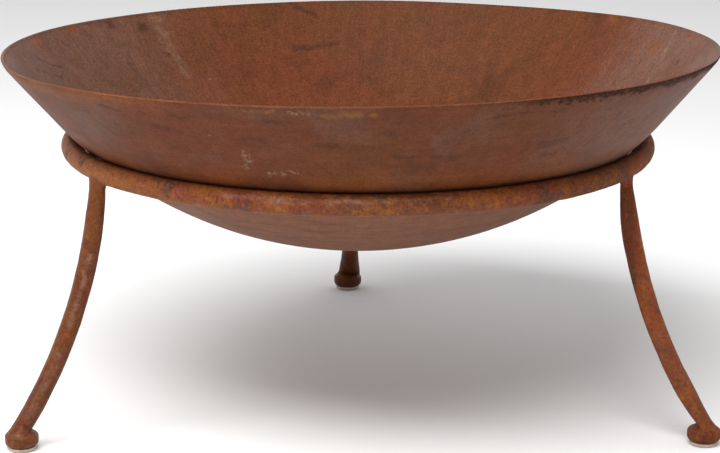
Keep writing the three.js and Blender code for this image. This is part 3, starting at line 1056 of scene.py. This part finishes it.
def forged_rust(name, seed, orange, shades, spotted, gloss, dull=0.32):
    """Rust on forged bars, with pits and hammer marks. Shades are pairs of a place's metres to the left of
    the origin and how light the bar is painted there."""
    recipe = Recipe(name, SCALE_RED)
    leftward = recipe.dot(recipe.place, (-1, 0, 0))
    beside_bowl = recipe.distance(recipe.place, DISH_CENTRE)
    rusty, cloudy, dark = forged_patches(recipe, seed, orange, spotted, leftward)
    # Painted highlights: paler, smoother strokes on the ring's front and the left leg.
    wear_and_highlight = recipe.product(highlight_strokes(recipe, seed + 10), recipe.spread(cloudy, 0.42, 0.58, 0.2, 1.0))
    recipe.cover(HIGHLIGHT_TINT, wear_and_highlight, 0.6)
    speckle = recipe.noise(0.0016, 3, 0.7, seed=seed + 7)
    grain = recipe.spread(speckle, 0.3, 0.7, 1 - 0.28 * spotted, 1 + 0.28 * spotted)
    recipe.shade(grain, *painted_light(recipe, leftward, shades, beside_bowl))
    rough = recipe.spread(speckle, 0.3, 0.7, dull - 0.05, dull + 0.05)
    rough = recipe.math("SUBTRACT", rough, recipe.product(wear_and_highlight, dull - 0.2))
    roughness = recipe.add(recipe.product(rusty, 0.12), rough)
    sheltered = recipe.spread(beside_bowl, SHELTER_FROM, SHELTER_TO, 1, 0)
    roughness = recipe.add(roughness, recipe.product(sheltered, 0.5))
    roughness = recipe.add(roughness, recipe.spread(leftward, -0.25, -0.05, 0.3, 0.0))
    pits = recipe.noise(0.0035, 4, 0.65, seed=seed + 8)
    hammered = recipe.noise(0.011, 2, 0.5, seed=seed + 9)
    bumps = relief(recipe, (speckle, 0.0004), (pits, 0.0007), (dark, -0.0010 * spotted), (hammered, 0.0014))
    return recipe.finish(roughness, bumps, gloss)


@once
def bar_rust():
    shades = [(-0.28, 0.92), (-0.21, 0.75), (-0.14, 0.85), (0.2, 0.93), (0.28, 1.02)]
    return forged_rust("ring_rust", 21, 0.8, shades, 1.1, 0.18, 0.5)


@once
def leg_rust():
    right = [(-0.32, 0.96), (-0.298, 1.2), (-0.262, 1.27), (-0.248, 0.7)]
    left = [(0.248, 0.99), (0.27, 0.7), (0.32, 0.54)]
    return forged_rust("leg_rust", 31, 0.45, right + left, 0.8, 0.16)


@once
def foot_rust():
    return forged_rust("foot_rust", 36, 0.5, [(-0.2, 0.76), (0.2, 0.64)], 1.0, 0.15)


@once
def weld_rust():
    return forged_rust("weld_rust", 41, 0.5, [(0, 0.9)], 0.8, 0.15)


@once
def shaded_rust():
    """For the rear leg, its foot and their weld, painted darker because the photo has them in shade."""
    return forged_rust("rear_foot_rust", 61, 0.2, [(0, 0.62)], 0.6, 0.1)


@once
def pad_plastic():
    recipe = Recipe("foot_pad", (0.46, 0.39, 0.31))
    cloud = recipe.noise(0.006, 3, 0.6, seed=51)
    recipe.cover((0.36, 0.29, 0.22), recipe.spread(cloud, 0.45, 0.7))
    grain = recipe.noise(0.0012, 2, 0.6, seed=52)
    return recipe.finish(0.6, recipe.product(grain, 0.0001), 0.4)


# ---------------------------------------------------------------- the studio

FLOOR_RINGS = (0.5, 1.5, 4, 9)
FLOOR_SIDES = 64
# The floor lies a hair below the pads.
FLOOR_DROP = Vector((0, 0, -0.4 * MM))


def floor():
    rows = [[FLOOR_DROP]]
    for radius in FLOOR_RINGS:
        rows.append([AXIS + round_axis(a, radius) + FLOOR_DROP for a in turns_round(FLOOR_SIDES)])
    points = [point for row in rows for point in row]
    around = [(k, (k + 1) % FLOOR_SIDES) for k in range(FLOOR_SIDES)]
    faces = [(0, 1 + k, 1 + m) for k, m in around]
    for i in range(len(FLOOR_RINGS) - 1):
        a, b = 1 + FLOOR_SIDES * i, 1 + FLOOR_SIDES * (i + 1)
        faces += [(a + k, b + k, b + m, a + m) for k, m in around]
    mesh = bpy.data.meshes.new("studio_floor")
    mesh.from_pydata(points, [], faces)
    piece = placed("studio_floor", mesh)
    recipe = Recipe("studio_floor", (0.88, 0.88, 0.88))
    cloud = recipe.noise(0.8, 2, 0.5, seed=61)
    recipe.cover((0.86, 0.86, 0.86), cloud)
    mesh.materials.append(recipe.finish(0.9, recipe.math("MULTIPLY", cloud, 0.0001), 0.2))


def lamp(name, place, target, size, power):
    data = bpy.data.lights.new(name, "AREA")
    data.shape = "RECTANGLE"
    data.size, data.size_y = size
    data.energy = power
    piece = placed(name, data)
    piece.location = place
    piece.rotation_euler = (target - place).to_track_quat("-Z", "Y").to_euler()


# The sky is brightest at the horizon, and dimmer overhead and on the camera's side.
HORIZON_LIGHT = 1.45
SKY_LIGHT = 0.6
FRONT_SHARE = 0.25
# The soft box stands in front, to the left and high up. Angles are in degrees.
LAMP_POWER = 130
LAMP_AWAY = 2.6
LAMP_LIFT = 58
LAMP_ASIDE = 30
LAMP_SIZE = (2.8, 1.6)


def lights():
    world = bpy.data.worlds.new("studio")
    world.use_nodes = True
    nodes, links = world.node_tree.nodes, world.node_tree.links
    direction = nodes.new("ShaderNodeTexCoord").outputs["Generated"]
    split = nodes.new("ShaderNodeSeparateXYZ")
    links.new(direction, split.inputs[0])
    overhead = soft_step(nodes, 0.1, 0.7, HORIZON_LIGHT, SKY_LIGHT)
    links.new(split.outputs["Z"], overhead.inputs["Value"])
    front = soft_step(nodes, -0.7, 0.3, FRONT_SHARE, 1.0)
    links.new(split.outputs["Y"], front.inputs["Value"])
    both = nodes.new("ShaderNodeMath")
    both.operation = "MULTIPLY"
    links.new(overhead.outputs[0], both.inputs[0])
    links.new(front.outputs[0], both.inputs[1])
    links.new(both.outputs[0], nodes["Background"].inputs["Strength"])
    nodes["Background"].inputs["Color"].default_value = (1, 1, 1, 1)
    bpy.context.scene.world = world
    target = AXIS + Vector((0, 0, 0.25))
    lift, aside = math.radians(LAMP_LIFT), math.radians(LAMP_ASIDE)
    toward = Vector((-math.sin(aside) * math.cos(lift), -math.cos(aside) * math.cos(lift), math.sin(lift)))
    lamp("soft_box", target + toward * LAMP_AWAY, target, LAMP_SIZE, LAMP_POWER)


def camera():
    data = bpy.data.cameras.new("camera")
    data.lens = CAMERA_LENS
    data.sensor_width = CAMERA_SENSOR
    data.clip_start, data.clip_end = 0.05, 50
    eye = AXIS + Vector((0, 0, CAMERA_HEIGHT))
    eye -= Vector((math.sin(CAMERA_ROUND), math.cos(CAMERA_ROUND), 0)) * CAMERA_AWAY
    turn = CAMERA_ASIDE + CAMERA_ROUND
    level, down = math.cos(CAMERA_DOWN), math.sin(CAMERA_DOWN)
    ahead = Vector((math.sin(turn) * level, math.cos(turn) * level, -down))
    right = Vector((math.cos(turn), -math.sin(turn), 0))
    up = right.cross(ahead)
    c, s = math.cos(CAMERA_ROLL), math.sin(CAMERA_ROLL)
    axes = Matrix((right * c + up * s, up * c - right * s, -ahead)).transposed()
    view = placed("camera", data)
    view.matrix_world = Matrix.Translation(eye) @ axes.to_4x4()
    bpy.context.scene.camera = view


def stand():
    ring()
    closing_weld()
    for seed, (name, leg) in enumerate(LEGS.items(), 1):
        leg_bar(name, leg, seed * 10)
        ring_collar(name, leg, seed * 10 + 3)
        foot_collar(name, leg, seed * 10 + 5)
        foot(name, leg, seed * 10 + 7)
        pad(name, leg)


bpy.context.scene.view_settings.view_transform = "Standard"
camera()
lights()
floor()
bowl()
stand()
